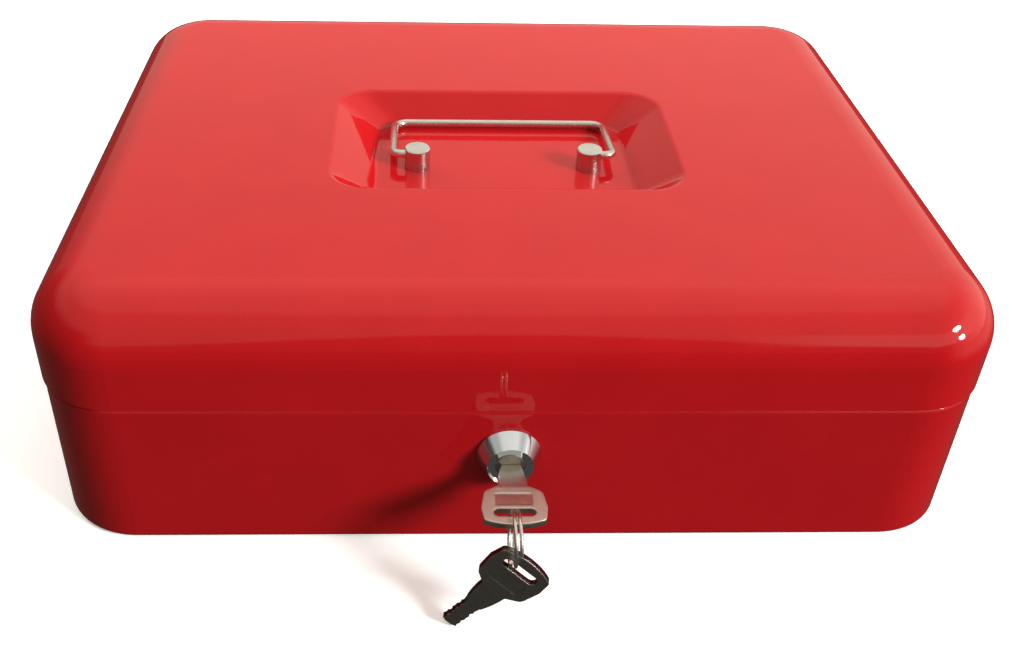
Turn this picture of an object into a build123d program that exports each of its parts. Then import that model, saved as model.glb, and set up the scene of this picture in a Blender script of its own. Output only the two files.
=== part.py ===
from build123d import *
from math import acos, asin, cos, degrees, pi, radians, sin, sqrt
import os

os.makedirs("parts", exist_ok=True)

# All sizes are in millimetres. The box stands on the XY plane, its lock faces -Y,
# and the origin is the centre of the base.

# Case
lid_length = 300.0
lid_width = 240.0
box_height = 90.0
lid_depth = 35.3
lid_corner = 27.3
lid_edge_radius = 20.0
sheet = 0.8
body_inset = 0.6
base_edge_radius = 2.0
shoulder_drop = 2.1
shoulder_radius = 2.0
joggle_radius = 1.0
rim_gap = 1.0
rim_overlap = 7.3

# Handle well in the lid's top
well_length = 123.6
well_width = 77.0
well_corner = 13.0
well_depth = 11.0
well_side_run = 15.3
well_end_run = 7.2
well_floor_corner = 9.0
well_centre_y = -6.6
well_lip_radius = 2.4
well_foot_radius = 3.0
well_under_share = 0.8

# Handle
wire_diameter = 3.0
post_spacing = 63.0
post_diameter = 9.2
post_height = 8.0
post_chamfer = 0.3
post_setback = 3.7
pivot_height = 5.4
bail_span = 80.6
bail_reach = 32.6
bail_floor_gap = 0.35
bail_far_bend = 5.0
bail_near_bend = 3.2
bail_bore_depth = 6.0
bail_end_gap = 0.6
pivot_clearance = 0.05
post_screw_diameter = 4.0
post_screw_length = 4.8
post_hole_clearance = 0.15
washer_thickness = 0.8
post_washer_diameter = 9.0
screw_head_diameter = 7.6
screw_head_height = 2.4
screw_head_round = 0.7
screw_end_gap = 0.2
drive_recess = 1.1
drive_length = 4.2

# Hinges
hinge_end_inset = 60.0
hinge_length = 40.0
knuckle_count = 5
knuckle_gap = 0.3
knuckle_ease = 0.15
strap_overlap = 2.0
leaf_thickness = 1.0
pin_diameter = 2.5
pin_clearance = 0.05
pin_chamfer = 0.3
hinge_axis_height = 0.3
notch_clearance = 0.4
body_leaf_depth = 19.0
lid_leaf_height = 12.0
rivet_diameter = 3.0
rivet_head_diameter = 5.4
rivet_head_height = 1.1
rivet_spacing = 24.0

# Lock
lock_x = -2.5
lock_drop = 18.0
bezel_diameter = 20.4
bezel_front_diameter = 14.6
bezel_height = 6.3
bezel_rim = 0.7
barrel_diameter = 16.0
barrel_length = 15.0
barrel_hole_clearance = 0.2
lock_washer_diameter = 21.0
nut_across_flats = 19.6
nut_thickness = 4.0
plug_diameter = 9.4
plug_clearance = 0.05
plug_recess = 0.3
plug_dish = 0.6
plug_step = 0.5
plug_flange_length = 2.0
plug_flange_gap = 0.3
tail_square = 5.6
cam_thickness = 2.0
cam_hub_radius = 6.6
cam_root = 0.2
hook_inner_radius = 15.4
hook_outer_radius = 20.0
hook_half_angle = 34.0
hook_arm_angle = 11.0
cam_screw_diameter = 3.0
cam_screw_length = 6.0
cam_screw_head = 7.0
cam_screw_head_height = 2.0
keyway_clearance = 0.1
wafer_count = 5
wafer_start = 3.0
wafer_pitch = 1.8
wafer_thickness = 0.9
wafer_height = 3.6
wafer_length = 7.4
wafer_corner = 0.6
wafer_slot_clearance = 0.1
wafer_window_clearance = 0.2
spring_radius = 0.45
spring_length = 4.0
spring_offset = 2.9

# Lid catch
catch_width = 9.0
catch_flange_width = 24.0
catch_thickness = 1.2
catch_over_rim = 1.6
catch_rim_gap = 0.9
catch_nut_gap = 1.1
catch_flange_height = 5.4
catch_hook_reach = 1.4

# Keys and ring
bow_width = 19.8
bow_end_width = 18.4
bow_shoulder_width = 17.6
bow_length = 16.2
bow_widest = 7.0
bow_end_sag = 1.9
bow_corner = 1.6
bow_shoulder_corner = 2.6
bow_shoulder_drop = 2.6
key_thickness = 2.0
neck_width = 9.0
neck_middle_width = 8.1
neck_end_width = 5.8
key_stop = 25.2
key_stop_lead = 0.2
blade_width = 5.2
blade_tip_width = 2.3
key_length = 36.4
slot_length = 12.6
slot_height = 3.2
slot_from_end = 4.9
bitting_depths = (0.5, 1.0, 0.4, 0.8, 0.6)
bitting_step = 2.0
bitting_start = 0.7
bitting_ramp = 0.7
panel_length = 11.0
panel_height = 5.0
panel_depth = 0.2
panel_corner = 0.8
panel_from_end = 10.4
ring_radius = 7.9
ring_wire = 1.1
ring_pitch = 1.54
ring_turns = 1.95
ring_start = 189.0
ring_centre_out = 28.4
ring_centre_drop = 1.7
ring_offset_x = -0.9
spare_hang_angle = 22.0
spare_swing = 40.6
spare_lean = -2.8
spare_twist = 8.1
spare_pivot_across = 3.0

# Coin tray
tray_gap = 3.0
tray_wall = 1.5
tray_depth = 26.0
tray_lip = 1.4
tray_lip_inset = 0.3
tray_seat_gap = 0.1
tray_floor = 1.5
tray_pocket_corner = 5.0
tray_scoop = 3.0
tray_front_row = 112.0
tray_side_cups = 2
tray_rear_bins = 3
tray_recess_width = 50.0
tray_recess_depth = 20.0
tray_hinge_notch = 44.0
tray_hinge_notch_depth = 3.0

# Levels and faces that several pieces share
lid_edge_z = box_height - lid_depth
shoulder_z = lid_edge_z - shoulder_drop
rim_top_z = lid_edge_z + rim_overlap
body_length = lid_length - 2 * body_inset
body_width = lid_width - 2 * body_inset
lock_z = lid_edge_z - lock_drop
hinge_x = lid_length / 2 - hinge_end_inset
body_corner = lid_corner - body_inset
rim_length = lid_length - 2 * (sheet + rim_gap)
rim_width = lid_width - 2 * (sheet + rim_gap)
rim_corner = lid_corner - sheet - rim_gap
body_front_y = -body_width / 2
body_back_y = body_width / 2
well_floor_z = box_height - well_depth
well_floor_length = well_length - 2 * well_side_run
well_floor_width = well_width - 2 * well_end_run
through_sheet = 3 * sheet
level_tolerance = 0.01


def rounded_loop(length, width, corner, z):
    """Closed plan outline of a rounded rectangle, starting at the middle of its front side."""
    with BuildLine(Plane.XY.offset(z)) as loop:
        FilletPolyline(
            (0, -width / 2),
            (length / 2, -width / 2),
            (length / 2, width / 2),
            (0, width / 2),
            radius=corner,
        )
        mirror(about=Plane.YZ)
    return loop.wire()


def at_level(z):
    """Arguments for a filter that keeps what lies at one height."""
    return Axis.Z, z - level_tolerance, z + level_tolerance


def finish(part, label):
    """Label a finished piece and write it."""
    part.label = label
    export_step(part, f"parts/{label}.step")


# Body: a drawn pan whose wall steps in at the shoulder to carry the rim under the lid
hinge_axis_z = lid_edge_z + hinge_axis_height
knuckle_radius = pin_diameter / 2 + leaf_thickness + knuckle_ease
leaf_inner_y = body_back_y - sheet - leaf_thickness
hinge_axis_y = leaf_inner_y + knuckle_radius
notch_length = hinge_length + 2 * notch_clearance
hinge_places = [(-hinge_x, 0), (hinge_x, 0)]
rivet_places = [(side * hinge_x + step * rivet_spacing / 2, 0) for side in (-1, 1) for step in (-1, 1)]
body_rivet_z = shoulder_z - body_leaf_depth / 2
lid_rivet_z = hinge_axis_z + knuckle_radius + lid_leaf_height / 2

joggle_depth = (body_length - rim_length) / 2
joggle_angle = acos(1 - joggle_depth / (shoulder_radius + joggle_radius))
joggle_height = (shoulder_radius + joggle_radius) * sin(joggle_angle)

with BuildPart() as body_shell:
    with BuildSketch():
        RectangleRounded(body_length, body_width, body_corner)
    extrude(amount=shoulder_z)
    fillet(body_shell.faces().sort_by(Axis.Z)[0].edges(), base_edge_radius)
    with BuildSketch(Plane.XY.offset(sheet)):
        RectangleRounded(body_length - 2 * sheet, body_width - 2 * sheet, body_corner - sheet)
    extrude(amount=shoulder_z - sheet, mode=Mode.SUBTRACT)
    fillet(
        body_shell.faces().filter_by(Axis.Z).sort_by(Axis.Z)[1].edges(),
        base_edge_radius - sheet,
    )
    # shoulder and rim, drawn once across the wall and carried round the plan
    wall_plane = Plane(origin=(0, body_front_y, shoulder_z), x_dir=(0, -1, 0), z_dir=(-1, 0, 0))
    with BuildSketch(wall_plane) as rim_section:
        with BuildLine():
            turn = degrees(joggle_angle)
            rim_height = rim_top_z - shoulder_z
            outer_bend = CenterArc((-shoulder_radius, 0), shoulder_radius, 0, turn)
            bend_x = (shoulder_radius + joggle_radius) * cos(joggle_angle) - shoulder_radius
            outer_return = CenterArc((bend_x, joggle_height), joggle_radius, 180 + turn, -turn)
            inner_bend = CenterArc((-shoulder_radius, 0), shoulder_radius - sheet, 0, turn)
            inner_return = CenterArc((bend_x, joggle_height), joggle_radius + sheet, 180 + turn, -turn)
            Line((0, 0), (-sheet, 0))
            Polyline(
                outer_return @ 1,
                (-joggle_depth, rim_height),
                (-joggle_depth - sheet, rim_height),
                inner_return @ 1,
            )
        make_face()
    sweep(path=rounded_loop(body_length, body_width, body_corner, shoulder_z))
    # hole for the lock
    with BuildSketch(Plane.XZ.offset(-body_front_y)):
        with Locations((lock_x, lock_z)):
            Circle(barrel_diameter / 2 + barrel_hole_clearance)
    extrude(amount=-2 * sheet, mode=Mode.SUBTRACT)
    # notches in the rear rim for the hinge knuckles
    notch_floor_z = hinge_axis_z - knuckle_radius - notch_clearance
    with BuildSketch(Plane.XZ.offset(-body_back_y - sheet)):
        with Locations((0, (notch_floor_z + rim_top_z) / 2 + sheet)):
            with Locations(*hinge_places):
                Rectangle(notch_length, rim_top_z - notch_floor_z + 2 * sheet)
    extrude(amount=joggle_depth + sheet + through_sheet, mode=Mode.SUBTRACT)
    # rivet holes
    with BuildSketch(Plane.XZ.offset(-body_back_y - sheet)):
        with Locations((0, body_rivet_z)):
            with Locations(*rivet_places):
                Circle(rivet_diameter / 2)
    extrude(amount=through_sheet, mode=Mode.SUBTRACT)
finish(body_shell.part, "body_shell")

# Lid: a drawn cover with the handle well pressed into its top
pivot_y = well_centre_y - post_setback
pivot_z = well_floor_z + pivot_height
under_grow = well_under_share * sheet

with BuildPart() as lid_hollow:
    with BuildSketch(Plane.XY.offset(lid_edge_z)):
        RectangleRounded(lid_length - 2 * sheet, lid_width - 2 * sheet, lid_corner - sheet)
    extrude(amount=lid_depth - sheet)
    fillet(lid_hollow.faces().sort_by(Axis.Z)[-1].edges(), lid_edge_radius - sheet)


def well_section(z, length, width, corner):
    """One level of the well's wall."""
    with BuildSketch(Plane.XY.offset(z)) as section:
        with Locations((0, well_centre_y)):
            RectangleRounded(length, width, corner)
    return section.sketch


def in_well(edge):
    """True for an edge of the well's own outline."""
    spot = edge.center()
    return abs(spot.X) < well_length / 2 + 1 and abs(spot.Y - well_centre_y) < well_width / 2 + 1


with BuildPart() as lid_shell:
    with BuildSketch(Plane.XY.offset(lid_edge_z)):
        RectangleRounded(lid_length, lid_width, lid_corner)
    extrude(amount=lid_depth)
    fillet(lid_shell.faces().sort_by(Axis.Z)[-1].edges(), lid_edge_radius)
    add(lid_hollow.part, mode=Mode.SUBTRACT)
    # the well's underside, then its hollow
    under_floor = well_section(
        well_floor_z - sheet,
        well_floor_length + under_grow,
        well_floor_width + under_grow,
        well_floor_corner + under_grow / 2,
    )
    under_lip = well_section(
        box_height - sheet,
        well_length + under_grow,
        well_width + under_grow,
        well_corner + under_grow / 2,
    )
    loft([under_floor, under_lip], ruled=True)
    floor = well_section(well_floor_z, well_floor_length, well_floor_width, well_floor_corner)
    lip = well_section(box_height, well_length, well_width, well_corner)
    loft([floor, lip], ruled=True, mode=Mode.SUBTRACT)
    tops = lid_shell.edges().filter_by_position(*at_level(box_height))
    fillet(tops.filter_by(in_well), well_lip_radius)
    feet = lid_shell.edges().filter_by_position(*at_level(well_floor_z))
    fillet(feet.filter_by(in_well), well_foot_radius)
    # holes for the two post screws
    with BuildSketch(Plane.XY.offset(well_floor_z)):
        with Locations((-post_spacing / 2, pivot_y), (post_spacing / 2, pivot_y)):
            Circle(post_screw_diameter / 2 + post_hole_clearance)
    extrude(amount=-2 * sheet, mode=Mode.SUBTRACT)
    # notches in the rear skirt for the hinge knuckles
    notch_top_z = hinge_axis_z + knuckle_radius + notch_clearance
    with BuildSketch(Plane.XZ.offset(-lid_width / 2 - sheet)):
        with Locations((0, (lid_edge_z + notch_top_z) / 2 - sheet)):
            with Locations(*hinge_places):
                Rectangle(notch_length, notch_top_z - lid_edge_z + 2 * sheet)
    extrude(amount=through_sheet, mode=Mode.SUBTRACT)
    with BuildSketch(Plane.XZ.offset(-lid_width / 2 - sheet)):
        with Locations((0, lid_rivet_z)):
            with Locations(*rivet_places):
                Circle(rivet_diameter / 2)
    extrude(amount=through_sheet, mode=Mode.SUBTRACT)
finish(lid_shell.part, "lid_shell")

# Hinges: two leaves with interleaved knuckles on one pin, a pair of them
knuckle_pitch = hinge_length / knuckle_count
body_leaf_top = hinge_axis_z - knuckle_radius - knuckle_gap
lid_leaf_foot = hinge_axis_z + knuckle_radius + knuckle_gap
lid_leaf_back = lid_width / 2 - sheet


def knuckle_spans(first):
    """Start and length of every second knuckle along the hinge."""
    for index in range(first, knuckle_count, 2):
        start = -hinge_length / 2 + index * knuckle_pitch + knuckle_gap / 2
        yield start, knuckle_pitch - knuckle_gap


def hinge_leaf(centre_x, first, bore, strap, plate):
    """A leaf: a plate given as (y, z, y, z), and knuckles joined to it by straps."""
    with BuildPart() as leaf:
        y0, z0, y1, z1 = plate
        with BuildSketch(Plane.YZ.offset(centre_x - hinge_length / 2)):
            with Locations(((y0 + y1) / 2, (z0 + z1) / 2)):
                Rectangle(y1 - y0, z1 - z0)
        extrude(amount=hinge_length)
        for start, length in knuckle_spans(first):
            with BuildSketch(Plane.YZ.offset(centre_x + start)):
                with Locations((hinge_axis_y, hinge_axis_z)):
                    Circle(knuckle_radius)
                with Locations((leaf_inner_y + leaf_thickness / 2, (hinge_axis_z + strap) / 2)):
                    Rectangle(leaf_thickness, abs(strap - hinge_axis_z))
                with Locations((hinge_axis_y, hinge_axis_z)):
                    Circle(bore, mode=Mode.SUBTRACT)
            extrude(amount=length)
        rivet_z = body_rivet_z if strap < hinge_axis_z else lid_rivet_z
        with BuildSketch(Plane.XZ.offset(-y0)):
            with Locations((centre_x, rivet_z)):
                with Locations((-rivet_spacing / 2, 0), (rivet_spacing / 2, 0)):
                    Circle(rivet_diameter / 2)
        extrude(amount=-(y1 - y0), mode=Mode.SUBTRACT)
    return leaf.part


def rivets(z, outer_y, inner_y, label):
    """Four rivets with domed heads through the rear wall and the leaf behind it."""
    head_radius = rivet_head_diameter / 2
    shank_radius = rivet_diameter / 2
    dome_radius = (head_radius**2 + rivet_head_height**2) / (2 * rivet_head_height)
    dome_turn = degrees(asin(head_radius / dome_radius))
    outer_centre = outer_y + rivet_head_height - dome_radius
    inner_centre = inner_y - rivet_head_height + dome_radius
    with BuildPart() as group:
        for x, _ in rivet_places:
            # half section: along the rivet, then out from its axis
            with BuildSketch(Plane(origin=(x, 0, z), x_dir=(0, 1, 0), z_dir=(0, 0, -1))):
                with BuildLine():
                    outer_dome = CenterArc((outer_centre, 0), dome_radius, 0, dome_turn)
                    inner_dome = CenterArc((inner_centre, 0), dome_radius, 180, -dome_turn)
                    Polyline(
                        outer_dome @ 1,
                        (outer_y, shank_radius),
                        (inner_y, shank_radius),
                        inner_dome @ 1,
                    )
                    Line(inner_dome @ 0, outer_dome @ 0)
                make_face()
            revolve(axis=Axis((x, 0, z), (0, 1, 0)))
    finish(group.part, label)


for side, centre_x in (("left", -hinge_x), ("right", hinge_x)):
    body_leaf = hinge_leaf(
        centre_x,
        0,
        pin_diameter / 2,
        body_leaf_top - strap_overlap,
        (
            leaf_inner_y,
            shoulder_z - body_leaf_depth,
            leaf_inner_y + leaf_thickness,
            body_leaf_top,
        ),
    )
    finish(body_leaf, f"hinge_body_leaf_{side}")
    lid_leaf = hinge_leaf(
        centre_x,
        1,
        pin_diameter / 2 + pin_clearance,
        lid_leaf_foot + strap_overlap,
        (
            lid_leaf_back - leaf_thickness,
            lid_leaf_foot,
            lid_leaf_back,
            lid_leaf_foot + lid_leaf_height,
        ),
    )
    finish(lid_leaf, f"hinge_lid_leaf_{side}")
    with BuildPart() as pin:
        with BuildSketch(Plane.YZ.offset(centre_x - hinge_length / 2)):
            with Locations((hinge_axis_y, hinge_axis_z)):
                Circle(pin_diameter / 2)
        extrude(amount=hinge_length)
        chamfer(pin.edges().filter_by(GeomType.CIRCLE), pin_chamfer)
    finish(pin.part, f"hinge_pin_{side}")

rivets(body_rivet_z, body_back_y, leaf_inner_y, "hinge_body_rivets")
rivets(lid_rivet_z, lid_width / 2, lid_leaf_back - leaf_thickness, "hinge_lid_rivets")

# Handle: two posts in the well carry a wire bail
bore_radius = wire_diameter / 2 + pivot_clearance
screw_bore_depth = post_screw_length - sheet - washer_thickness + screw_end_gap
for side, way in (("left", -1), ("right", 1)):
    post_x = way * post_spacing / 2
    with BuildPart() as post:
        with BuildSketch(Plane(origin=(post_x, pivot_y, 0), x_dir=(1, 0, 0), z_dir=(0, -1, 0))):
            with BuildLine():
                Polyline(
                    (0, well_floor_z),
                    (post_diameter / 2, well_floor_z),
                    (post_diameter / 2, well_floor_z + post_height),
                    (0, well_floor_z + post_height),
                    close=True,
                )
            make_face()
        revolve(axis=Axis((post_x, pivot_y, 0), (0, 0, 1)))
        chamfer(post.faces().sort_by(Axis.Z)[-1].edges(), post_chamfer)
        with BuildSketch(Plane.XY.offset(well_floor_z)):
            with Locations((post_x, pivot_y)):
                Circle(post_screw_diameter / 2)
        extrude(amount=screw_bore_depth, mode=Mode.SUBTRACT)
        bore_plane = Plane(
            origin=(post_x + way * post_diameter / 2, pivot_y, pivot_z),
            x_dir=(0, 1, 0),
            z_dir=(-way, 0, 0),
        )
        with BuildSketch(bore_plane):
            Circle(bore_radius)
        extrude(amount=bail_bore_depth, mode=Mode.SUBTRACT)
    finish(post.part, f"handle_post_{side}")

post_places = [(-post_spacing / 2, pivot_y), (post_spacing / 2, pivot_y)]
well_under_z = well_floor_z - sheet
with BuildPart() as post_washers:
    with BuildSketch(Plane.XY.offset(well_under_z)):
        with Locations(*post_places):
            Circle(post_washer_diameter / 2)
            Circle(post_screw_diameter / 2 + post_hole_clearance, mode=Mode.SUBTRACT)
    extrude(amount=-washer_thickness)
finish(post_washers.part, "handle_post_washers")

with BuildPart() as post_screws:
    head_z = well_under_z - washer_thickness
    with BuildSketch(Plane.XY.offset(head_z)):
        with Locations(*post_places):
            Circle(screw_head_diameter / 2)
    extrude(amount=-screw_head_height)
    head_rims = post_screws.edges().filter_by_position(*at_level(head_z - screw_head_height))
    fillet(head_rims, screw_head_round)
    with BuildSketch(Plane.XY.offset(head_z)):
        with Locations(*post_places):
            Circle(post_screw_diameter / 2)
    extrude(amount=post_screw_length)
    with BuildSketch(Plane.XY.offset(head_z - screw_head_height)):
        with Locations(*post_places):
            Rectangle(drive_length, drive_recess)
            Rectangle(drive_recess, drive_length)
    extrude(amount=drive_recess, mode=Mode.SUBTRACT)
finish(post_screws.part, "handle_post_screws")

bail_z = well_floor_z + wire_diameter / 2 + bail_floor_gap
bail_y = pivot_y + bail_reach
bail_end_x = post_spacing / 2 + post_diameter / 2 - bail_bore_depth + bail_end_gap
with BuildPart() as handle_bail:
    with BuildLine() as bail_line:
        FilletPolyline(
            (-bail_end_x, pivot_y, pivot_z),
            (-bail_span / 2, pivot_y, pivot_z),
            (-bail_span / 2, bail_y, bail_z),
            (bail_span / 2, bail_y, bail_z),
            (bail_span / 2, pivot_y, pivot_z),
            (bail_end_x, pivot_y, pivot_z),
            radius=[bail_near_bend, bail_far_bend, bail_far_bend, bail_near_bend],
        )
    with BuildSketch(Plane(origin=bail_line.line @ 0, z_dir=bail_line.line % 0)):
        Circle(wire_diameter / 2)
    sweep(path=bail_line.line)
finish(handle_bail.part, "handle_bail")

# Lock: a round cam lock through the front wall
face_y = body_front_y
wall_inner_y = body_front_y + sheet
barrel_end_y = face_y + barrel_length
plug_front_y = face_y - bezel_height + plug_recess
cam_front_y = barrel_end_y + plug_flange_gap
cam_back_y = cam_front_y + cam_thickness
lock_axis = Axis((lock_x, face_y, lock_z), (0, 1, 0))


def lock_plane(y):
    """Plane across the lock's axis: local x is +X, local y is +Z, its normal is -Y."""
    return Plane(origin=(lock_x, y, lock_z), x_dir=(1, 0, 0), z_dir=(0, -1, 0))


def lock_profile(points):
    """Half section of a turned lock piece, from (radius, y) points."""
    with BuildSketch(Plane(origin=(lock_x, 0, lock_z), x_dir=(1, 0, 0), z_dir=(0, 0, 1))) as half:
        with BuildLine():
            Polyline(*points, close=True)
        make_face()
    return half.sketch


flange_radius = plug_diameter / 2
plug_radius = flange_radius - plug_step
bezel_front_y = face_y - bezel_height
counterbore_y = plug_front_y + plug_flange_length
with BuildPart() as lock_housing:
    housing_half = lock_profile(
        [
            (plug_radius + plug_clearance, counterbore_y),
            (flange_radius + plug_clearance, counterbore_y),
            (flange_radius + plug_clearance, bezel_front_y + plug_dish),
            (bezel_front_diameter / 2 - plug_dish, bezel_front_y + plug_dish),
            (bezel_front_diameter / 2, bezel_front_y),
            (bezel_diameter / 2, face_y - bezel_rim),
            (bezel_diameter / 2, face_y),
            (barrel_diameter / 2, face_y),
            (barrel_diameter / 2, barrel_end_y),
            (plug_radius + plug_clearance, barrel_end_y),
        ]
    )
    revolve(housing_half, axis=lock_axis)
finish(lock_housing.part, "lock_housing")

with BuildPart() as lock_washer:
    with BuildSketch(lock_plane(wall_inner_y)):
        Circle(lock_washer_diameter / 2)
        Circle(barrel_diameter / 2, mode=Mode.SUBTRACT)
    extrude(amount=-washer_thickness)
finish(lock_washer.part, "lock_washer")

nut_front_y = wall_inner_y + washer_thickness
with BuildPart() as lock_nut:
    with BuildSketch(lock_plane(nut_front_y)):
        RegularPolygon(nut_across_flats / 2, 6, major_radius=False)
        Circle(barrel_diameter / 2, mode=Mode.SUBTRACT)
    extrude(amount=-nut_thickness)
finish(lock_nut.part, "lock_nut")

blade_depth = key_length - key_stop
wafer_ys = [plug_front_y + wafer_start + index * wafer_pitch for index in range(wafer_count)]
with BuildPart() as lock_plug:
    plug_half = lock_profile(
        [
            (0, plug_front_y),
            (flange_radius, plug_front_y),
            (flange_radius, counterbore_y),
            (plug_radius, counterbore_y),
            (plug_radius, cam_front_y),
            (0, cam_front_y),
        ]
    )
    revolve(plug_half, axis=lock_axis)
    with BuildSketch(lock_plane(cam_front_y)):
        Rectangle(tail_square, tail_square)
    extrude(amount=-cam_thickness)
    with BuildSketch(lock_plane(plug_front_y)):
        Rectangle(blade_width + 2 * keyway_clearance, key_thickness + 2 * keyway_clearance)
    extrude(amount=-(blade_depth + plug_step), mode=Mode.SUBTRACT)
    for wafer_y in wafer_ys:
        with BuildSketch(lock_plane(wafer_y - wafer_slot_clearance)):
            Rectangle(2 * flange_radius, wafer_height + 2 * wafer_slot_clearance)
        extrude(amount=-(wafer_thickness + 2 * wafer_slot_clearance), mode=Mode.SUBTRACT)
        with BuildSketch(Plane.YZ.offset(lock_x - spring_length / 2 - wafer_slot_clearance)):
            with Locations((wafer_y + wafer_thickness / 2, lock_z + spring_offset)):
                Circle(spring_radius + pivot_clearance)
        extrude(amount=spring_length + 2 * wafer_slot_clearance, mode=Mode.SUBTRACT)
    with BuildSketch(lock_plane(cam_back_y)):
        Circle(cam_screw_diameter / 2)
    extrude(amount=cam_screw_length, mode=Mode.SUBTRACT)
finish(lock_plug.part, "lock_plug")

with BuildPart() as lock_wafers:
    for wafer_y in wafer_ys:
        with BuildSketch(lock_plane(wafer_y)):
            RectangleRounded(wafer_length, wafer_height, wafer_corner)
            Rectangle(
                blade_width + 2 * wafer_window_clearance,
                key_thickness + 2 * wafer_window_clearance,
                mode=Mode.SUBTRACT,
            )
        extrude(amount=-wafer_thickness)
finish(lock_wafers.part, "lock_wafers")

with BuildPart() as lock_wafer_springs:
    for wafer_y in wafer_ys:
        with BuildSketch(Plane.YZ.offset(lock_x - spring_length / 2)):
            with Locations((wafer_y + wafer_thickness / 2, lock_z + spring_offset)):
                Circle(spring_radius)
        extrude(amount=spring_length)
finish(lock_wafer_springs.part, "lock_wafer_springs")

# Cam: a hub, an arm and a hook that runs over the catch's ledge when the key is turned
hook_start = 180 - hook_half_angle
hook_end = 180 + hook_half_angle
arm_start = hook_end - hook_arm_angle
with BuildPart() as lock_cam:
    with BuildSketch(lock_plane(cam_front_y)):
        with BuildLine():
            outer_arc = CenterArc((0, 0), hook_outer_radius, hook_start, hook_end - hook_start)
            inner_arc = CenterArc((0, 0), hook_inner_radius, hook_start, arm_start - hook_start)
            root_radius = cam_hub_radius - cam_root
            hub_arc = CenterArc((0, 0), root_radius, hook_end, arm_start - hook_end)
            Line(outer_arc @ 0, inner_arc @ 0)
            Line(inner_arc @ 1, hub_arc @ 1)
            Line(hub_arc @ 0, outer_arc @ 1)
        make_face()
        Circle(cam_hub_radius)
        Rectangle(tail_square, tail_square, mode=Mode.SUBTRACT)
    extrude(amount=-cam_thickness)
finish(lock_cam.part, "lock_cam")

with BuildPart() as cam_screw:
    with BuildSketch(lock_plane(cam_back_y)):
        Circle(cam_screw_diameter / 2)
    extrude(amount=cam_screw_length)
    with BuildSketch(lock_plane(cam_back_y)):
        Circle(cam_screw_head / 2)
    extrude(amount=-cam_screw_head_height)
    fillet(cam_screw.faces().sort_by(Axis.Y)[-1].edges(), screw_head_round)
    with BuildSketch(lock_plane(cam_back_y + cam_screw_head_height)):
        Rectangle(drive_length, drive_recess)
        Rectangle(drive_recess, drive_length)
    extrude(amount=drive_recess, mode=Mode.SUBTRACT)
finish(cam_screw.part, "cam_screw")

# Catch: a strip welded inside the lid's front, hooked down over the rim
nut_corner_radius = nut_across_flats / sqrt(3)
ledge_z = lock_z + nut_corner_radius + catch_nut_gap
bridge_z = rim_top_z + catch_over_rim
lid_inner_front_y = -(lid_width / 2 - sheet)
leg_y = -(rim_width / 2 - sheet) + catch_rim_gap
ledge_end_y = cam_back_y + catch_hook_reach
with BuildPart() as lid_catch:
    with BuildSketch(Plane.YZ.offset(lock_x - catch_flange_width / 2)):
        with Locations((lid_inner_front_y + catch_thickness / 2, bridge_z + catch_flange_height / 2)):
            Rectangle(catch_thickness, catch_flange_height)
    extrude(amount=catch_flange_width)
    with BuildSketch(Plane.YZ.offset(lock_x - catch_width / 2)):
        with BuildLine():
            Polyline(
                (lid_inner_front_y, bridge_z),
                (leg_y, bridge_z),
                (leg_y, ledge_z),
                (ledge_end_y, ledge_z),
                (ledge_end_y, ledge_z + catch_thickness),
                (leg_y + catch_thickness, ledge_z + catch_thickness),
                (leg_y + catch_thickness, bridge_z + catch_thickness),
                (lid_inner_front_y, bridge_z + catch_thickness),
                close=True,
            )
        make_face()
    extrude(amount=catch_width)
finish(lid_catch.part, "lid_catch")

# Coin tray: a moulded tub that hangs by its lip on the rim
tub_length = rim_length - 2 * (sheet + tray_gap)
tub_width = rim_width - 2 * (sheet + tray_gap)
tub_corner = rim_corner - sheet - tray_gap
lip_under_z = rim_top_z + tray_seat_gap
tray_top_z = lip_under_z + tray_lip
tray_bottom_z = tray_top_z - tray_depth
front_split_y = -tub_width / 2 + tray_front_row
recess_back_y = -tub_width / 2 + tray_recess_depth


def sharp_corners(sketch):
    """The vertices where two straight sides meet."""
    ends = [end for edge in sketch.edges().filter_by(GeomType.LINE) for end in edge.vertices()]
    return [
        vertex
        for vertex in sketch.vertices()
        if sum(end.distance_to(vertex) < level_tolerance for end in ends) == 2
    ]


def pocket_spans(left, right, count):
    """X ranges of the pockets between two inner walls, with one wall between each pair."""
    pitch = (right - left + tray_wall) / count
    return [(left + index * pitch, left + (index + 1) * pitch - tray_wall) for index in range(count)]


tub_inner_x = tub_length / 2 - tray_wall
tub_inner_y = tub_width / 2 - tray_wall
recess_left = lock_x - tray_recess_width / 2
recess_right = lock_x + tray_recess_width / 2
# each pocket is (left, right, front, back)
pockets = [
    (left, right, -tub_inner_y, front_split_y)
    for left, right in pocket_spans(-tub_inner_x, recess_left - tray_wall, tray_side_cups)
    + pocket_spans(recess_right + tray_wall, tub_inner_x, tray_side_cups)
]
pockets.append((recess_left, recess_right, recess_back_y + tray_wall, front_split_y))
pockets += [
    (left, right, front_split_y + tray_wall, tub_inner_y)
    for left, right in pocket_spans(-tub_inner_x, tub_inner_x, tray_rear_bins)
]


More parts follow.
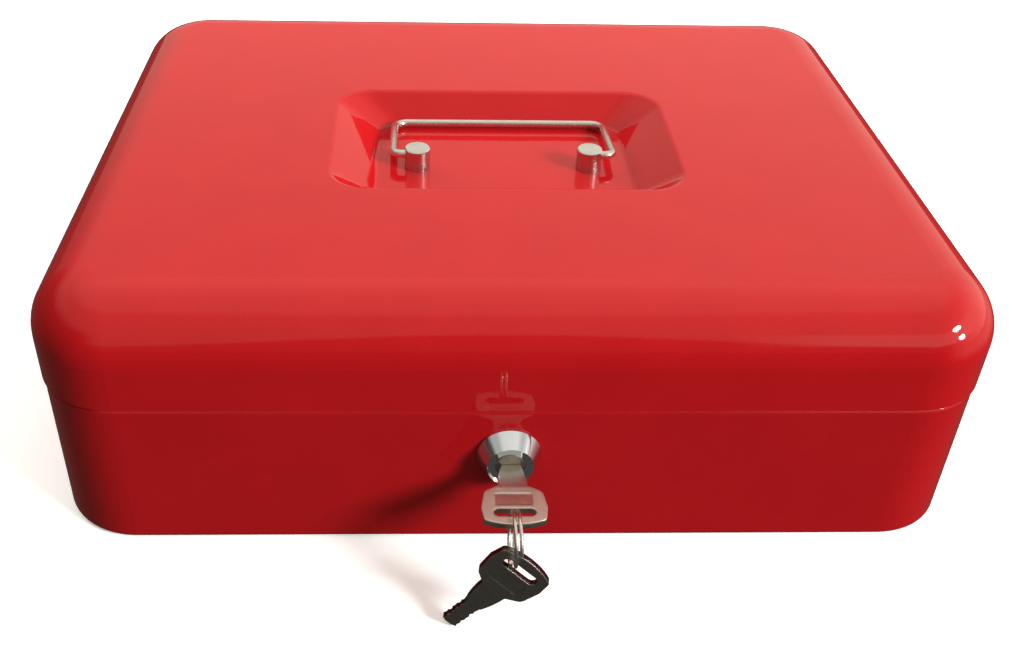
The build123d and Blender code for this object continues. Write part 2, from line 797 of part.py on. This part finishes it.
with BuildPart() as coin_tray:
    with BuildSketch(Plane.XY.offset(tray_bottom_z)):
        RectangleRounded(tub_length, tub_width, tub_corner)
    extrude(amount=tray_depth)
    with BuildSketch(Plane.XY.offset(lip_under_z)):
        RectangleRounded(
            rim_length - 2 * tray_lip_inset,
            rim_width - 2 * tray_lip_inset,
            rim_corner - tray_lip_inset,
        )
        with Locations((0, rim_width / 2 - tray_lip_inset)):
            with Locations(*hinge_places):
                Rectangle(tray_hinge_notch, 2 * tray_hinge_notch_depth, mode=Mode.SUBTRACT)
    extrude(amount=tray_lip)
    # room for the lock, the cam and the catch
    with BuildSketch(Plane.XY.offset(tray_bottom_z)):
        with Locations((lock_x, recess_back_y - tray_recess_depth)):
            RectangleRounded(tray_recess_width, 2 * tray_recess_depth, tray_pocket_corner)
    extrude(amount=tray_depth, mode=Mode.SUBTRACT)
    for left, right, front, back in pockets:
        with BuildSketch(Plane.XY.offset(tray_bottom_z + tray_floor)) as pocket:
            RectangleRounded(2 * tub_inner_x, 2 * tub_inner_y, tub_corner - tray_wall)
            with Locations(((left + right) / 2, (front + back) / 2)):
                Rectangle(right - left, back - front, mode=Mode.INTERSECT)
            fillet(sharp_corners(pocket), tray_pocket_corner)
        extrude(amount=tray_depth, mode=Mode.SUBTRACT)
    floors = coin_tray.faces().filter_by(Axis.Z)
    pocket_floors = floors.filter_by_position(*at_level(tray_bottom_z + tray_floor))
    fillet(pocket_floors.edges(), tray_scoop)
finish(coin_tray.part, "coin_tray")


# Keys: the same blank twice, one in the lock and one on the ring
bow_shoulder = bow_length - bow_shoulder_drop


def bow_side(way):
    """One side of the bow, from its end to the start of the neck, as points (across, along)."""
    return [
        (way * bow_end_width / 2, bow_end_sag),
        (way * bow_width / 2, bow_widest),
        (way * bow_shoulder_width / 2, bow_shoulder),
        (way * neck_width / 2, bow_length),
    ]


def blade_side(way):
    """One side of the blade, from the end of the neck to the tip."""
    half_blade = blade_width / 2
    side = [
        (way * neck_end_width / 2, key_stop - key_stop_lead),
        (way * half_blade, key_stop),
    ]
    depths = bitting_depths if way > 0 else tuple(reversed(bitting_depths))
    along = key_stop + bitting_start
    for depth in depths:
        side.append((way * half_blade, along))
        side.append((way * (half_blade - depth / 2), along + bitting_ramp))
        side.append((way * (half_blade - depth / 2), along + bitting_step - bitting_ramp))
        along += bitting_step
    side.append((way * half_blade, along))
    side.append((way * blade_tip_width / 2, key_length))
    return side


def make_key(plane, label):
    """A flat key: `plane` has the middle of the bow's end at its origin and +y towards the tip."""
    neck_middle = (bow_length + key_stop) / 2
    with BuildPart() as key:
        with BuildSketch(plane.offset(-key_thickness / 2)) as outline:
            with BuildLine():
                ThreePointArc(bow_side(-1)[0], (0, 0), bow_side(1)[0])
                for way in (-1, 1):
                    bow = Polyline(*bow_side(way))
                    blade = Polyline(*blade_side(way))
                    ThreePointArc(bow @ 1, (way * neck_middle_width / 2, neck_middle), blade @ 0)
                Line(blade_side(-1)[-1], blade_side(1)[-1])
            make_face()
            fillet([v for v in outline.vertices() if v.Y <= bow_widest], bow_corner)
            shoulders = [v for v in outline.vertices() if abs(v.Y - bow_shoulder) < level_tolerance]
            fillet(shoulders, bow_shoulder_corner)
            with Locations((0, slot_from_end)):
                SlotOverall(slot_length, slot_height, mode=Mode.SUBTRACT)
        extrude(amount=key_thickness)
        for face_offset, way in ((key_thickness / 2, -1), (-key_thickness / 2, 1)):
            with BuildSketch(plane.offset(face_offset)):
                with Locations((0, panel_from_end)):
                    RectangleRounded(panel_length, panel_height, panel_corner)
            extrude(amount=way * panel_depth, mode=Mode.SUBTRACT)
    finish(key.part, label)


key_end_y = plug_front_y - key_stop
key_plane = Plane(origin=(lock_x, key_end_y, lock_z), x_dir=(1, 0, 0), z_dir=(0, 0, 1))
make_key(key_plane, "key_in_lock")

# Ring: one wire in two turns through both bows
ring_x = lock_x + ring_offset_x
ring_y = plug_front_y - ring_centre_out
ring_z = lock_z - ring_centre_drop
bottom_share = (270 - ring_start) / 360


def ring_point(angle):
    """Centre of the wire after turning to an angle, in degrees from +Y towards +Z."""
    turns = (angle - ring_start) / 360
    return Vector(
        ring_x + ring_pitch * (turns - bottom_share - 0.5),
        ring_y + ring_radius * cos(radians(angle)),
        ring_z + ring_radius * sin(radians(angle)),
    )


def ring_tangent(angle):
    """Direction of the wire at an angle."""
    along = ring_pitch / (2 * pi)
    return Vector(
        along, -ring_radius * sin(radians(angle)), ring_radius * cos(radians(angle))
    ).normalized()


ring_steps = 8
ring_sample_count = 400
half_turn_samples = round(ring_sample_count / ring_turns / 2)
ring_end = ring_start + 360 * ring_turns
ring_angles = [ring_start + (ring_end - ring_start) * i / ring_steps for i in range(ring_steps + 1)]
with BuildPart() as key_ring:
    with BuildLine() as ring_line:
        for first, second in zip(ring_angles, ring_angles[1:]):
            start, end = ring_point(first), ring_point(second)
            start_way, end_way = ring_tangent(first), ring_tangent(second)
            # two arcs that meet the helix's ends and directions: reach solves the tangent lengths
            chord = end - start
            both = start_way + end_way
            square = 2 * (1 - start_way.dot(end_way))
            half = chord.dot(both)
            reach = (sqrt(half * half + square * chord.dot(chord)) - half) / square
            middle = (start + end + (start_way - end_way) * reach) * 0.5
            middle_way = (end - end_way * reach - start - start_way * reach).normalized()
            TangentArc(start, middle, tangent=start_way)
            TangentArc(middle, end, tangent=middle_way)
    with BuildSketch(Plane(origin=ring_line.line @ 0, z_dir=ring_line.line % 0)):
        Circle(ring_wire / 2)
    sweep(path=ring_line.line)
finish(key_ring.part, "key_ring")

ring_samples = [ring_line.line @ (i / ring_sample_count) for i in range(ring_sample_count + 1)]
ring_gap = min(
    (near - far).length
    for i, near in enumerate(ring_samples)
    for far in ring_samples[i + half_turn_samples :]
)
print(f"key ring: least gap between turns {ring_gap - ring_wire:.2f} mm")

# Spare key: it hangs by one end of its slot from the ring, forward of the ring's bottom
hang = radians(spare_hang_angle)
swing, lean, twist = radians(spare_swing), radians(spare_lean), radians(spare_twist)
spare_along = Vector(-sin(swing) * cos(lean), -sin(lean), -cos(swing) * cos(lean))
spare_flat = Vector(cos(swing), 0, -sin(swing))
spare_across = spare_flat * cos(twist) + spare_along.cross(spare_flat) * sin(twist)
spare_origin = (
    Vector(ring_x, ring_y - ring_radius * sin(hang), ring_z - ring_radius * cos(hang))
    + spare_across * spare_pivot_across
    - spare_along * slot_from_end
)
spare_plane = Plane(
    origin=spare_origin, x_dir=spare_across, z_dir=spare_across.cross(spare_along)
)
make_key(spare_plane, "spare_key")
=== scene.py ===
"""Studio scene for the red steel cash box: finishes, floor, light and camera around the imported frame."""

import math

import bpy
from mathutils import Matrix, Vector

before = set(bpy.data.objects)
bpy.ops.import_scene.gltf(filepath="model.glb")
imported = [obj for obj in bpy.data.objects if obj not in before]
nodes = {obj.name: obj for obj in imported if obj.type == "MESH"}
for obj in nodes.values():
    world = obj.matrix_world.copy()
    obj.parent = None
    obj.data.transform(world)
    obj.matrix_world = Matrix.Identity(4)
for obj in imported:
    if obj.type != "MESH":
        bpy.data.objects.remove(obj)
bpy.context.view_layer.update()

# Places on the object, in metres
POST_X = 0.0315
POST_Y = -0.0103
LOCK_X = -0.0025
LOCK_Z = 0.0367
NECK_END_Y = -0.1345
BOW_PANEL_CENTRE = (LOCK_X, -0.1402, 0.0)
BOW_PANEL_HALF = (0.0055, 0.0025, 0.0)

Y_AXIS = (0.0, 1.0, 0.0)
Z_AXIS = (0.0, 0.0, 1.0)


# Node helpers


def add_node(tree, kind, inputs=None, **properties):
    """Add a node, set its properties, and set or link its inputs."""
    node = tree.nodes.new(kind)
    for name, value in properties.items():
        setattr(node, name, value)
    for socket, value in (inputs or {}).items():
        if isinstance(value, bpy.types.NodeSocket):
            tree.links.new(value, node.inputs[socket])
        else:
            node.inputs[socket].default_value = value
    return node


def math_node(tree, operation, *values):
    return add_node(tree, "ShaderNodeMath", dict(enumerate(values)), operation=operation).outputs[0]


def vector_node(tree, operation, *values):
    node = add_node(tree, "ShaderNodeVectorMath", dict(enumerate(values)), operation=operation)
    return node.outputs[1 if operation in ("LENGTH", "DOT_PRODUCT") else 0]


def separate(tree, vector):
    """The x, y and z of a vector."""
    return add_node(tree, "ShaderNodeSeparateXYZ", {0: vector}).outputs


def smooth_range(tree, value, low, high, out_low=0.0, out_high=1.0):
    """Smoothly carry value from low..high to out_low..out_high."""
    inputs = {
        "Value": value,
        "From Min": low,
        "From Max": high,
        "To Min": out_low,
        "To Max": out_high,
    }
    return add_node(tree, "ShaderNodeMapRange", inputs, interpolation_type="SMOOTHSTEP").outputs[0]


def mix_colour(tree, factor, first, second):
    """The colour that goes from first to second as factor goes from 0 to 1."""
    inputs = {0: factor, 6: (*first, 1), 7: (*second, 1)}
    return add_node(tree, "ShaderNodeMix", inputs, data_type="RGBA").outputs[2]


def noise(tree, place, scale, detail=2.0):
    inputs = {"Vector": place, "Scale": scale, "Detail": detail}
    return add_node(tree, "ShaderNodeTexNoise", inputs).outputs["Fac"]


def bump(tree, height, strength, distance, normal=None):
    inputs = {"Height": height, "Strength": strength, "Distance": distance}
    if normal is not None:
        inputs["Normal"] = normal
    return add_node(tree, "ShaderNodeBump", inputs).outputs[0]


def surface(name, colour, **sockets):
    """A new material with a Principled shader; sockets are its input names with _ for spaces."""
    material = bpy.data.materials.new(name)
    material.use_nodes = True
    tree = material.node_tree
    shader = tree.nodes["Principled BSDF"]
    shader.inputs["Base Color"].default_value = (*colour, 1)
    for socket, value in sockets.items():
        shader.inputs[socket.replace("_", " ")].default_value = value
    place = add_node(tree, "ShaderNodeTexCoord").outputs["Object"]
    return material, tree, shader, place


def set_input(tree, shader, socket, value):
    """Link value to a socket of the shader."""
    tree.links.new(value, shader.inputs[socket])


def turned_place(tree, place, centre, axis):
    """Coordinates for lathe marks: distance from the axis, and distance along it."""
    offset = vector_node(tree, "SUBTRACT", place, centre)
    across = vector_node(tree, "MULTIPLY", offset, tuple(0.0 if part else 1.0 for part in axis))
    radial = vector_node(tree, "LENGTH", across)
    along = vector_node(tree, "DOT_PRODUCT", offset, axis)
    return add_node(tree, "ShaderNodeCombineXYZ", {"X": radial, "Y": along}).outputs[0]


# Finishes


def red_enamel(name, painted_shade_share):
    """Glossy baked enamel: fine orange peel, pigment speckle and slow waviness of the sheet."""
    # a share below 1 darkens the enamel's colour as painted shade
    pale = (0.46 * painted_shade_share, 0.0068, 0.0098)
    deep = (0.415 * painted_shade_share, 0.0052, 0.0082)
    material, tree, shader, place = surface(
        name,
        pale,
        Roughness=0.5,
        Coat_Weight=1.0,
        Coat_Roughness=0.035,
        Coat_IOR=1.5,
        Specular_IOR_Level=0.0,
    )
    speckle = noise(tree, place, scale=2400.0)
    cloud = noise(tree, place, scale=45.0, detail=3.0)
    shade = math_node(tree, "MULTIPLY_ADD", speckle, 0.6, math_node(tree, "MULTIPLY", cloud, 0.4))
    spread = smooth_range(tree, shade, 0.3, 0.7)
    set_input(tree, shader, "Base Color", mix_colour(tree, spread, deep, pale))
    peel = noise(tree, place, scale=620.0, detail=1.5)
    wave = noise(tree, place, scale=38.0, detail=1.0)
    slow = bump(tree, wave, strength=0.10, distance=0.0008)
    normal = bump(tree, peel, strength=0.08, distance=0.0001, normal=slow)
    set_input(tree, shader, "Normal", normal)
    set_input(tree, shader, "Coat Normal", normal)
    return material


def metal(name, colour, roughness, stain, stain_scale=220.0):
    """Bare or plated metal whose colour and gloss drift a little over the surface.

    stain is the share of the colour that the darkest places keep.
    """
    material, tree, shader, place = surface(name, colour, Metallic=1.0, Roughness=roughness)
    cloud = smooth_range(tree, noise(tree, place, stain_scale, detail=3.0), 0.3, 0.7)
    darker = tuple(stain * part for part in colour)
    set_input(tree, shader, "Base Color", mix_colour(tree, cloud, colour, darker))
    lowest = 0.85 * roughness
    drift = 0.3 * roughness
    set_input(tree, shader, "Roughness", math_node(tree, "MULTIPLY_ADD", cloud, drift, lowest))
    return material, tree, shader, place


def dim(tree, shader, share):
    """Scale the base colour by share."""
    plain = shader.inputs["Base Color"].links[0].from_socket
    dimmed = add_node(tree, "ShaderNodeVectorMath", {0: plain, "Scale": share}, operation="SCALE")
    set_input(tree, shader, "Base Color", dimmed.outputs[0])


def facing_share(tree, axis, level=0.0):
    """1 where the surface faces along the axis either way, level where it turns away."""
    normal = add_node(tree, "ShaderNodeNewGeometry").outputs["Normal"]
    facing = math_node(tree, "ABSOLUTE", vector_node(tree, "DOT_PRODUCT", normal, axis))
    return smooth_range(tree, facing, 0.3, 0.8, level, 1.0)


def turned_metal(name, colour, roughness, centre, axis, depth, stain=0.94, spread=0.0, painted_side_shade=None):
    """Metal turned on a lathe about an axis through centre.

    depth is that of the lathe marks, and spread draws highlights out across them. The last argument is
    the share of the colour that faces round the axis keep, as painted shade on the sides.
    """
    material, tree, shader, place = metal(name, colour, roughness, stain)
    # painted shade: the colour is darkened where the surface faces round the axis
    if painted_side_shade is not None:
        dim(tree, shader, facing_share(tree, axis, painted_side_shade))
    rings = noise(tree, turned_place(tree, place, centre, axis), scale=5200.0)
    set_input(tree, shader, "Normal", bump(tree, rings, depth, distance=0.00004))
    around = vector_node(tree, "CROSS_PRODUCT", axis, vector_node(tree, "SUBTRACT", place, centre))
    set_input(tree, shader, "Tangent", vector_node(tree, "NORMALIZE", around))
    shader.inputs["Anisotropic"].default_value = spread
    return material


def plain_metal(name, colour, roughness, grain_scale, grain_depth, stain=0.88):
    """Rolled, drawn or plated metal with a fine grain."""
    stain_scale = grain_scale / 9.0
    material, tree, shader, place = metal(name, colour, roughness, stain, stain_scale)
    grain = noise(tree, place, grain_scale, detail=3.0)
    set_input(tree, shader, "Normal", bump(tree, grain, grain_depth, distance=0.00005))
    return material


def cross_hatch(tree, place):
    """Two crossing sets of diagonal ridges, 0.7 to 0.9 mm apart, as heights from -1 to 1."""
    radians_per_metre = 6200.0
    lines = []
    for across in ((1.0, 1.0, 0.6), (1.0, -1.0, -0.6)):
        distance = vector_node(tree, "DOT_PRODUCT", place, across)
        phase = math_node(tree, "MULTIPLY", distance, radians_per_metre)
        lines.append(math_node(tree, "SINE", phase))
    return math_node(tree, "MAXIMUM", *lines)


def off_panel_and_neck(tree, place):
    """0 on the bare panel and the neck of the key in the lock, 1 on the rest of its bow."""
    offset = vector_node(tree, "ABSOLUTE", vector_node(tree, "SUBTRACT", place, BOW_PANEL_CENTRE))
    beyond_x, beyond_y, _ = separate(tree, vector_node(tree, "SUBTRACT", offset, BOW_PANEL_HALF))
    off_panel = smooth_range(tree, math_node(tree, "MAXIMUM", beyond_x, beyond_y), 0.0, 0.0003)
    off_neck = smooth_range(tree, separate(tree, place)["Y"], NECK_END_Y, NECK_END_Y - 0.0015)
    return math_node(tree, "MULTIPLY", off_panel, off_neck)


def key_plate(name, colour, flat_axis, roughness, hatch, rounding, bare_panel=False, painted_side_shade=None):
    """Nickel plate with a cross hatched face and softened edges.

    roughness is that of the smooth and of the hatched places, and hatch is the depth of the ridges and the
    painted shade and highlight along them. The last argument is the share of the colour that the cut edges
    keep, as painted shade.
    """
    smooth, hatched = roughness
    hatch_depth, hatch_painted_shade = hatch
    mean_painted_shade = 0.92
    material, tree, shader, place = metal(name, colour, smooth, stain=0.90, stain_scale=420.0)
    # painted shade: the cut edges are darkened
    if painted_side_shade is not None:
        dim(tree, shader, facing_share(tree, flat_axis, painted_side_shade))
    outside = facing_share(tree, flat_axis)
    if bare_panel:
        outside = math_node(tree, "MULTIPLY", outside, off_panel_and_neck(tree, place))
    ridges = math_node(tree, "MULTIPLY", cross_hatch(tree, place), outside)
    # painted shade and highlight: the colour goes darker and lighter along the hatch ridges
    dim(tree, shader, math_node(tree, "MULTIPLY_ADD", ridges, hatch_painted_shade, mean_painted_shade))
    cloud = smooth_range(tree, noise(tree, place, scale=900.0, detail=3.0), 0.3, 0.7, 0.9, 1.1)
    rough = math_node(tree, "MULTIPLY_ADD", outside, hatched - smooth, smooth)
    set_input(tree, shader, "Roughness", math_node(tree, "MULTIPLY", rough, cloud))
    # the grain is shallowest on the smooth places
    grain = noise(tree, place, scale=3200.0, detail=3.0)
    grain_share = math_node(tree, "MULTIPLY_ADD", outside, 0.3, 0.1)
    height = math_node(tree, "MULTIPLY_ADD", grain, grain_share, ridges)
    edges = add_node(tree, "ShaderNodeBevel", {"Radius": rounding}, samples=12).outputs[0]
    set_input(tree, shader, "Normal", bump(tree, height, hatch_depth, distance=0.00003, normal=edges))
    return material


def black_plastic():
    """Moulded plastic with a fine spark-eroded grain."""
    deep = (0.010, 0.010, 0.011)
    pale = (0.018, 0.018, 0.019)
    material, tree, shader, place = surface("black_plastic_grain", deep, Roughness=0.45)
    grain = noise(tree, place, scale=2600.0, detail=3.0)
    cloud = noise(tree, place, scale=30.0, detail=3.0)
    set_input(tree, shader, "Base Color", mix_colour(tree, cloud, deep, pale))
    set_input(tree, shader, "Roughness", smooth_range(tree, grain, 0.3, 0.7, 0.38, 0.55))
    set_input(tree, shader, "Normal", bump(tree, grain, strength=0.35, distance=0.00008))
    return material


def dress(material, *names):
    """Give the named nodes this material alone."""
    for name in names:
        mesh = nodes[name].data
        mesh.materials.clear()
        mesh.materials.append(material)


zinc = plain_metal("zinc_plate", (0.62, 0.63, 0.64), 0.34, grain_scale=1800.0, grain_depth=0.15)
spring_wire = plain_metal(
    "spring_steel_wire",
    (0.50, 0.51, 0.53),
    0.28,
    grain_scale=3000.0,
    grain_depth=0.1,
)
brass = plain_metal(
    "wafer_brass_stamped",
    (0.72, 0.52, 0.24),
    0.3,
    grain_scale=2400.0,
    grain_depth=0.12,
)
bright_wire = plain_metal(
    "nickel_wire_bright",
    (0.80, 0.79, 0.77),
    0.27,
    grain_scale=2600.0,
    grain_depth=0.06,
    stain=0.93,
)
lock_centre = (LOCK_X, 0.0, LOCK_Z)
chrome = turned_metal(
    "lock_chrome_polished",
    (0.80, 0.86, 0.97),
    0.07,
    lock_centre,
    Y_AXIS,
    depth=0.02,
    stain=0.97,
)
plug_nickel = turned_metal(
    "plug_nickel_satin",
    (0.50, 0.46, 0.38),
    0.42,
    lock_centre,
    Y_AXIS,
    depth=0.06,
    stain=0.8,
)
key_nickel = key_plate(
    "key_nickel_hatched",
    (0.80, 0.76, 0.70),
    Z_AXIS,
    roughness=(0.34, 0.46),
    hatch=(0.9, 0.36),
    rounding=0.0008,
    bare_panel=True,
)
# painted shade: the spare key's colour is darker than the key in the lock's, its cut edges darker still
shaded_spare_key_nickel = key_plate(
    "shaded_spare_key_nickel",
    (0.50, 0.48, 0.45),
    Y_AXIS,
    roughness=(0.26, 0.30),
    hatch=(0.35, 0.12),
    rounding=0.0009,
    painted_side_shade=0.22,
)

dress(red_enamel("red_enamel_lid", 1.0), "lid_shell")
# painted shade: the body's enamel colour is kept 7 % darker than the lid's
dress(red_enamel("red_enamel_body", 0.93), "body_shell")
dress(chrome, "lock_housing")
dress(plug_nickel, "lock_plug")
dress(bright_wire, "handle_bail", "key_ring")
dress(key_nickel, "key_in_lock")
dress(shaded_spare_key_nickel, "spare_key")
dress(brass, "lock_wafers")
dress(spring_wire, "lock_wafer_springs")
dress(black_plastic(), "coin_tray")
for side, side_name in ((-1, "left"), (1, "right")):
    # painted shade: the posts' round sides are coloured darker than their tops
    post_nickel = turned_metal(
        f"satin_nickel_turned_{side_name}",
        (0.95, 0.94, 0.92),
        0.26,
        (side * POST_X, POST_Y, 0.0),
        Z_AXIS,
        depth=0.05,
        spread=0.6,
        painted_side_shade=0.62,
    )
    dress(post_nickel, f"handle_post_{side_name}")
dress(
    zinc,
    "cam_screw",
    "handle_post_screws",
    "handle_post_washers",
    "hinge_body_leaf_left",
    "hinge_body_leaf_right",
    "hinge_body_rivets",
    "hinge_lid_leaf_left",
    "hinge_lid_leaf_right",
    "hinge_lid_rivets",
    "hinge_pin_left",
    "hinge_pin_right",
    "lid_catch",
    "lock_cam",
    "lock_nut",
    "lock_washer",
)


# Floor


def make_floor():
    """A pale floor that the glossy enamel doesn't mirror."""
    half = 12.0
    gap_under_base = 0.0003
    grey = (0.94, 0.94, 0.94)
    white = (0.97, 0.97, 0.97)
    mesh = bpy.data.meshes.new("studio_floor")
    corners = [(-half, -half, 0), (half, -half, 0), (half, half, 0), (-half, half, 0)]
    mesh.from_pydata(corners, [], [(0, 1, 2, 3)])
    floor = bpy.data.objects.new("studio_floor", mesh)
    bpy.context.scene.collection.objects.link(floor)
    material, tree, shader, place = surface("pale_floor", white, Roughness=0.9)
    set_input(tree, shader, "Base Color", mix_colour(tree, noise(tree, place, scale=3.0), grey, white))
    shader.inputs["Emission Color"].default_value = (1, 1, 1, 1)
    shader.inputs["Emission Strength"].default_value = 0.30
    mesh.materials.append(material)
    floor.location.z = -gap_under_base
    floor.visible_glossy = False
    floor.visible_diffuse = False


make_floor()


# Light


def make_world():
    """Studio surroundings: bright ceiling, mid-grey walls, a window on the right and a dim left side.

    Each part is a brightness over the direction looked in: side goes to the right, depth to the rear
    and height up. The camera's own view of it is plain white.
    """
    world = bpy.data.worlds.new("studio_world")
    bpy.context.scene.world = world
    world.use_nodes = True
    tree = world.node_tree
    background = tree.nodes["Background"]
    direction = add_node(tree, "ShaderNodeTexCoord").outputs["Generated"]
    side, depth, height = separate(tree, direction)

    def product(*values):
        total = values[0]
        for value in values[1:]:
            total = math_node(tree, "MULTIPLY", total, value)
        return total

    def total_of(*values):
        total = values[0]
        for value in values[1:]:
            total = math_node(tree, "ADD", total, value)
        return total

    def one_minus(value):
        return math_node(tree, "SUBTRACT", 1.0, value)

    def ramp(value, low, high, out_low=0.0, out_high=1.0):
        return smooth_range(tree, value, low, high, out_low, out_high)

    front = ramp(depth, 0.1, -0.6)
    tilt = math_node(tree, "MULTIPLY_ADD", depth, 0.215, height)
    ceiling = ramp(tilt, 0.72, 0.90, 0.0, 0.31)
    walls = product(ramp(depth, -0.2, 0.6, 0.46, 0.60), ramp(side, -0.6, 0.6, 0.88, 1.12))
    # the front wall is dark below an edge that rises towards the middle
    off_middle = math_node(tree, "ABSOLUTE", math_node(tree, "SUBTRACT", side, 0.07))
    edge = ramp(off_middle, 0.02, 0.36, 0.50, 0.15)
    over_edge = math_node(tree, "SUBTRACT", height, edge)
    low_shade = product(ramp(over_edge, 0.05, -0.05, 0.0, 0.84), front)
    left_shade = product(ramp(side, -0.28, -0.70, 0.0, 0.97), ramp(height, 0.58, 0.30))
    shaded_walls = product(walls, one_minus(low_shade), one_minus(left_shade))
    horizon = ramp(height, -0.05, 0.02)
    room = product(total_of(ceiling, shaded_walls), horizon)
    pane_height = product(ramp(height, 0.13, 0.19), ramp(height, 0.52, 0.44))
    pane = product(pane_height, ramp(side, 0.26, 0.36), front, 0.42)
    right_wall = product(ramp(side, 0.60, 0.92), ramp(height, -0.45, -0.15), ramp(height, 0.75, 0.40), 0.45)
    base_level = 0.06
    light = total_of(room, pane, right_wall, base_level)
    seen = add_node(tree, "ShaderNodeLightPath").outputs["Is Camera Ray"]
    unseen = product(light, one_minus(seen))
    # a little less green and blue makes the light warm
    red = total_of(unseen, seen)
    green = math_node(tree, "SUBTRACT", red, product(unseen, 0.06))
    blue = math_node(tree, "SUBTRACT", red, product(unseen, 0.20))
    colour = add_node(tree, "ShaderNodeCombineColor", {"Red": red, "Green": green, "Blue": blue}).outputs[0]
    tree.links.new(colour, background.inputs["Color"])
    background.inputs["Strength"].default_value = 1.0


def lamp_direction(azimuth, elevation):
    """Unit vector towards a lamp; azimuth turns from the front towards the right."""
    turn = math.radians(azimuth)
    rise = math.radians(elevation)
    return Vector((math.sin(turn) * math.cos(rise), -math.cos(turn) * math.cos(rise), math.sin(rise)))


def lamp(name, target, towards, distance, size, watts, mirrored=False):
    """A flat oval lamp at that distance from target, facing it; towards points from target to lamp.

    A mirrored lamp only shows as a highlight in glossy surfaces. The others light surfaces but
    aren't mirrored in them.
    """
    light = bpy.data.lights.new(name, "AREA")
    light.shape = "ELLIPSE"
    light.size = size[0]
    light.size_y = size[1]
    light.energy = watts
    holder = bpy.data.objects.new(name, light)
    bpy.context.scene.collection.objects.link(holder)
    holder.location = Vector(target) + towards * distance
    holder.rotation_mode = "QUATERNION"
    holder.rotation_quaternion = (-towards).to_track_quat("-Z", "Y")
    holder.visible_camera = False
    holder.visible_glossy = mirrored
    holder.visible_diffuse = not mirrored


make_world()
front_face = (0.0, -0.119, 0.045)
lid_rear = (0.0, 0.12, 0.09)
lid_corner = (0.140, -0.110, 0.082)
to_key_light = lamp_direction(55.0, 30.0)
to_rear_light = Vector((0.0, 0.72, 0.68)).normalized()
to_left_light = Vector((-0.75, 0.50, 0.43)).normalized()
to_pane_upper = lamp_direction(57.5, 26.3)
to_pane_lower = lamp_direction(59.7, 12.0)
lamp("key_light", front_face, to_key_light, distance=3.0, size=(0.80, 0.80), watts=111.0)
lamp("rear_light", lid_rear, to_rear_light, distance=0.32, size=(0.60, 0.20), watts=1.5)
lamp("left_light", lid_rear, to_left_light, distance=2.0, size=(1.2, 1.2), watts=19.0)
lamp("pane_upper", lid_corner, to_pane_upper, distance=1.5, size=(0.36, 0.16), watts=6.0, mirrored=True)
lamp("pane_lower", lid_corner, to_pane_lower, distance=1.5, size=(0.25, 0.19), watts=4.6, mirrored=True)


# Camera


def make_camera():
    """The photograph's view: place, aim and lens."""
    position = (-0.03096, -0.3856, 0.28014)
    yaw = math.radians(2.46)
    pitch = math.radians(35.81)
    roll = math.radians(1.56)
    focal_pixels = 1147.3
    picture_width = 1024
    picture_height = 648
    principal_x = 458.5
    principal_y = 321.15
    data = bpy.data.cameras.new("photo_camera")
    camera = bpy.data.objects.new("photo_camera", data)
    bpy.context.scene.collection.objects.link(camera)
    forward = Vector((math.sin(yaw) * math.cos(pitch), math.cos(yaw) * math.cos(pitch), -math.sin(pitch)))
    level = Vector((math.cos(yaw), -math.sin(yaw), 0.0))
    upright = level.cross(forward)
    right = level * math.cos(roll) + upright * math.sin(roll)
    up = upright * math.cos(roll) - level * math.sin(roll)
    turn = Matrix((right, up, -forward)).transposed()
    camera.matrix_world = Matrix.Translation(position) @ turn.to_4x4()
    data.sensor_width = 36.0
    data.lens = focal_pixels * data.sensor_width / picture_width
    data.shift_x = (picture_width / 2 - principal_x) / picture_width
    data.shift_y = (principal_y - picture_height / 2) / picture_width
    data.clip_start = 0.01
    data.clip_end = 100.0
    bpy.context.scene.camera = camera


make_camera()
bpy.context.scene.view_settings.view_transform = "Standard"
